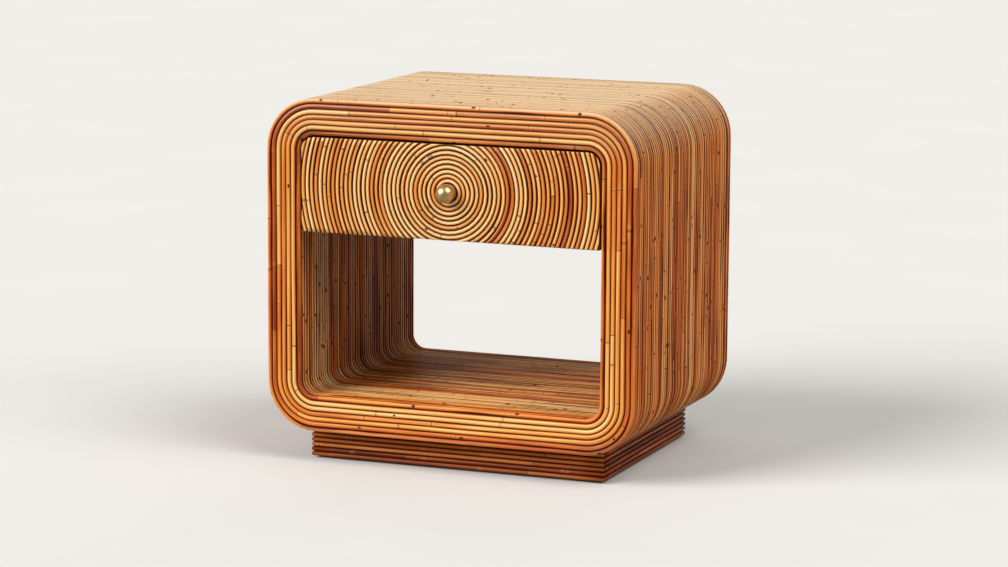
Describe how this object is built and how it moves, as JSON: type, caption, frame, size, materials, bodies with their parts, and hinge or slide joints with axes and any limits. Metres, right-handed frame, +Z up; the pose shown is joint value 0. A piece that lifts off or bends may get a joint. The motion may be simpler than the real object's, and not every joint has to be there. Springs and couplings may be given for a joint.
{
  "type": "nightstand",
  "caption": "Cane-clad nightstand: a rounded loop, open front to back, on an inset plinth, with a sliding drawer faced in concentric cane rings and a brass knob.",
  "frame": {"origin": "middle of the overall box, knob included, at floor level", "axes": "+Z up, the drawer front faces -Y, +X to the right of someone facing it"},
  "size_m": [0.61, 0.476, 0.572],
  "materials": {
    "cane": "satin lacquer over honey-brown cane",
    "plinth_cane": "satin lacquer over dark red-brown cane",
    "core_timber": "stained timber and plywood",
    "drawer_timber": "clear lacquered plywood",
    "brass": "antique, brushed by hand",
    "steel": "zinc plated",
    "nylon": "plain",
    "felt": "brown felt"
  },
  "bodies": {
    "frame": {"back_battens": "core_timber", "back_panel": "core_timber", "back_panel_canes": "cane", "back_ring_canes": "cane", "bottom_inner_board": "core_timber", "bottom_outer_board": "core_timber", "dust_panel": "core_timber", "floor_pads": "felt", "front_battens": "core_timber", "front_ring_canes": "cane", "inner_cane_wrap": "cane", "left_cabinet_rail": "steel", "left_inner_board": "core_timber", "left_outer_board": "core_timber", "left_runner": "core_timber", "lower_left_corner_post": "core_timber", "lower_right_corner_post": "core_timber", "outer_cane_wrap": "cane", "plinth_back_board": "core_timber", "plinth_back_canes": "plinth_cane", "plinth_corner_blocks": "core_timber", "plinth_front_board": "core_timber", "plinth_front_canes": "plinth_cane", "plinth_left_board": "core_timber", "plinth_left_canes": "plinth_cane", "plinth_right_board": "core_timber", "plinth_right_canes": "plinth_cane", "right_cabinet_rail": "steel", "right_inner_board": "core_timber", "right_outer_board": "core_timber", "right_runner": "core_timber", "top_inner_board": "core_timber", "top_outer_board": "core_timber", "upper_left_corner_post": "core_timber", "upper_right_corner_post": "core_timber"},
    "drawer": {"drawer_front": "cane", "drawer_inner_front": "drawer_timber", "drawer_left_side": "drawer_timber", "drawer_right_side": "drawer_timber", "drawer_back": "drawer_timber", "drawer_bottom": "drawer_timber", "knob": "brass", "left_drawer_rail": "steel", "right_drawer_rail": "steel"},
    "left_middle_rail": {"left_middle_rail": "steel"},
    "left_outer_cage": {"left_outer_ball_strips": "nylon"},
    "left_inner_cage": {"left_inner_ball_strips": "nylon"},
    "right_middle_rail": {"right_middle_rail": "steel"},
    "right_outer_cage": {"right_outer_ball_strips": "nylon"},
    "right_inner_cage": {"right_inner_ball_strips": "nylon"}
  },
  "joints": [
    {"name": "drawer_slide", "type": "slide", "parent": "frame", "child": "drawer", "axis": [0, -1, 0], "range_m": [0, 0.34]},
    {"name": "left_middle_slide", "type": "slide", "parent": "frame", "child": "left_middle_rail", "axis": [0, -1, 0], "range_m": [0, 0.17]},
    {"name": "left_outer_cage_slide", "type": "slide", "parent": "frame", "child": "left_outer_cage", "axis": [0, -1, 0], "range_m": [0, 0.085]},
    {"name": "left_inner_cage_slide", "type": "slide", "parent": "frame", "child": "left_inner_cage", "axis": [0, -1, 0], "range_m": [0, 0.255]},
    {"name": "right_middle_slide", "type": "slide", "parent": "frame", "child": "right_middle_rail", "axis": [0, -1, 0], "range_m": [0, 0.17]},
    {"name": "right_outer_cage_slide", "type": "slide", "parent": "frame", "child": "right_outer_cage", "axis": [0, -1, 0], "range_m": [0, 0.085]},
    {"name": "right_inner_cage_slide", "type": "slide", "parent": "frame", "child": "right_inner_cage", "axis": [0, -1, 0], "range_m": [0, 0.255]}
  ],
  "couplings": [
    {"joint": "left_middle_slide", "follows": "drawer_slide", "ratio": 0.5},
    {"joint": "left_outer_cage_slide", "follows": "drawer_slide", "ratio": 0.25},
    {"joint": "left_inner_cage_slide", "follows": "drawer_slide", "ratio": 0.75},
    {"joint": "right_middle_slide", "follows": "drawer_slide", "ratio": 0.5},
    {"joint": "right_outer_cage_slide", "follows": "drawer_slide", "ratio": 0.25},
    {"joint": "right_inner_cage_slide", "follows": "drawer_slide", "ratio": 0.75}
  ]
}
